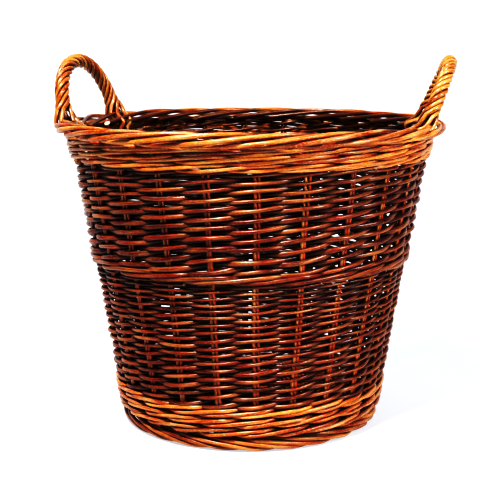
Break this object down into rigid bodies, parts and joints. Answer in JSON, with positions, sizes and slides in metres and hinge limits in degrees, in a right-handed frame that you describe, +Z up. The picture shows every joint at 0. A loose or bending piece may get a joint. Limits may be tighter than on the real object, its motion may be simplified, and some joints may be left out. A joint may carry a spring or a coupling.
{
  "type": "wicker log basket",
  "caption": "Tapered round wicker log basket with roped bow handles at the rim, waled bands at foot and rim, and a raised woven base.",
  "frame": {"origin": "centre of the basket's footprint, on the floor under the foot border", "axes": "+Z up along the basket's axis, +X out over the right handle and -X over the left one, +Y out over the plain back side. The middle of each handle stands 5.5 degrees round the rim from +X or -X, toward +Y."},
  "size_m": [0.5169, 0.5, 0.483],
  "materials": {
    "golden_willow": "satin",
    "brown_willow": "semi-gloss",
    "stake_willow": "satin",
    "handle_willow": "satin",
    "base_stick_willow": "matte"
  },
  "bodies": {
    "root": {"foot_border": "golden_willow", "pierced_base_sticks": "base_stick_willow", "through_base_sticks": "base_stick_willow", "base_weave": "brown_willow", "stake_01": "stake_willow", "stake_02": "stake_willow", "stake_03": "stake_willow", "stake_04": "stake_willow", "stake_05": "stake_willow", "stake_06": "stake_willow", "stake_07": "stake_willow", "stake_08": "stake_willow", "stake_09": "stake_willow", "stake_10": "stake_willow", "stake_11": "stake_willow", "stake_12": "stake_willow", "stake_13": "stake_willow", "stake_14": "stake_willow", "stake_15": "stake_willow", "stake_16": "stake_willow", "stake_17": "stake_willow", "stake_18": "stake_willow", "stake_19": "stake_willow", "stake_20": "stake_willow", "stake_21": "stake_willow", "stake_22": "stake_willow", "stake_23": "stake_willow", "stake_24": "stake_willow", "bye_stakes": "stake_willow", "upset_wale": "golden_willow", "lower_siding": "brown_willow", "mid_wale": "brown_willow", "upper_siding": "brown_willow", "top_wale": "golden_willow", "rolled_border": "golden_willow", "left_handle_bow": "handle_willow", "right_handle_bow": "handle_willow", "left_rope_strand_1": "handle_willow", "left_rope_strand_2": "handle_willow", "left_rope_strand_3": "handle_willow", "left_rope_strand_4": "handle_willow", "left_rope_strand_5": "handle_willow", "left_rope_strand_6": "handle_willow", "right_rope_strand_1": "handle_willow", "right_rope_strand_2": "handle_willow", "right_rope_strand_3": "handle_willow", "right_rope_strand_4": "handle_willow", "right_rope_strand_5": "handle_willow", "right_rope_strand_6": "handle_willow"}
  },
  "joints": []
}
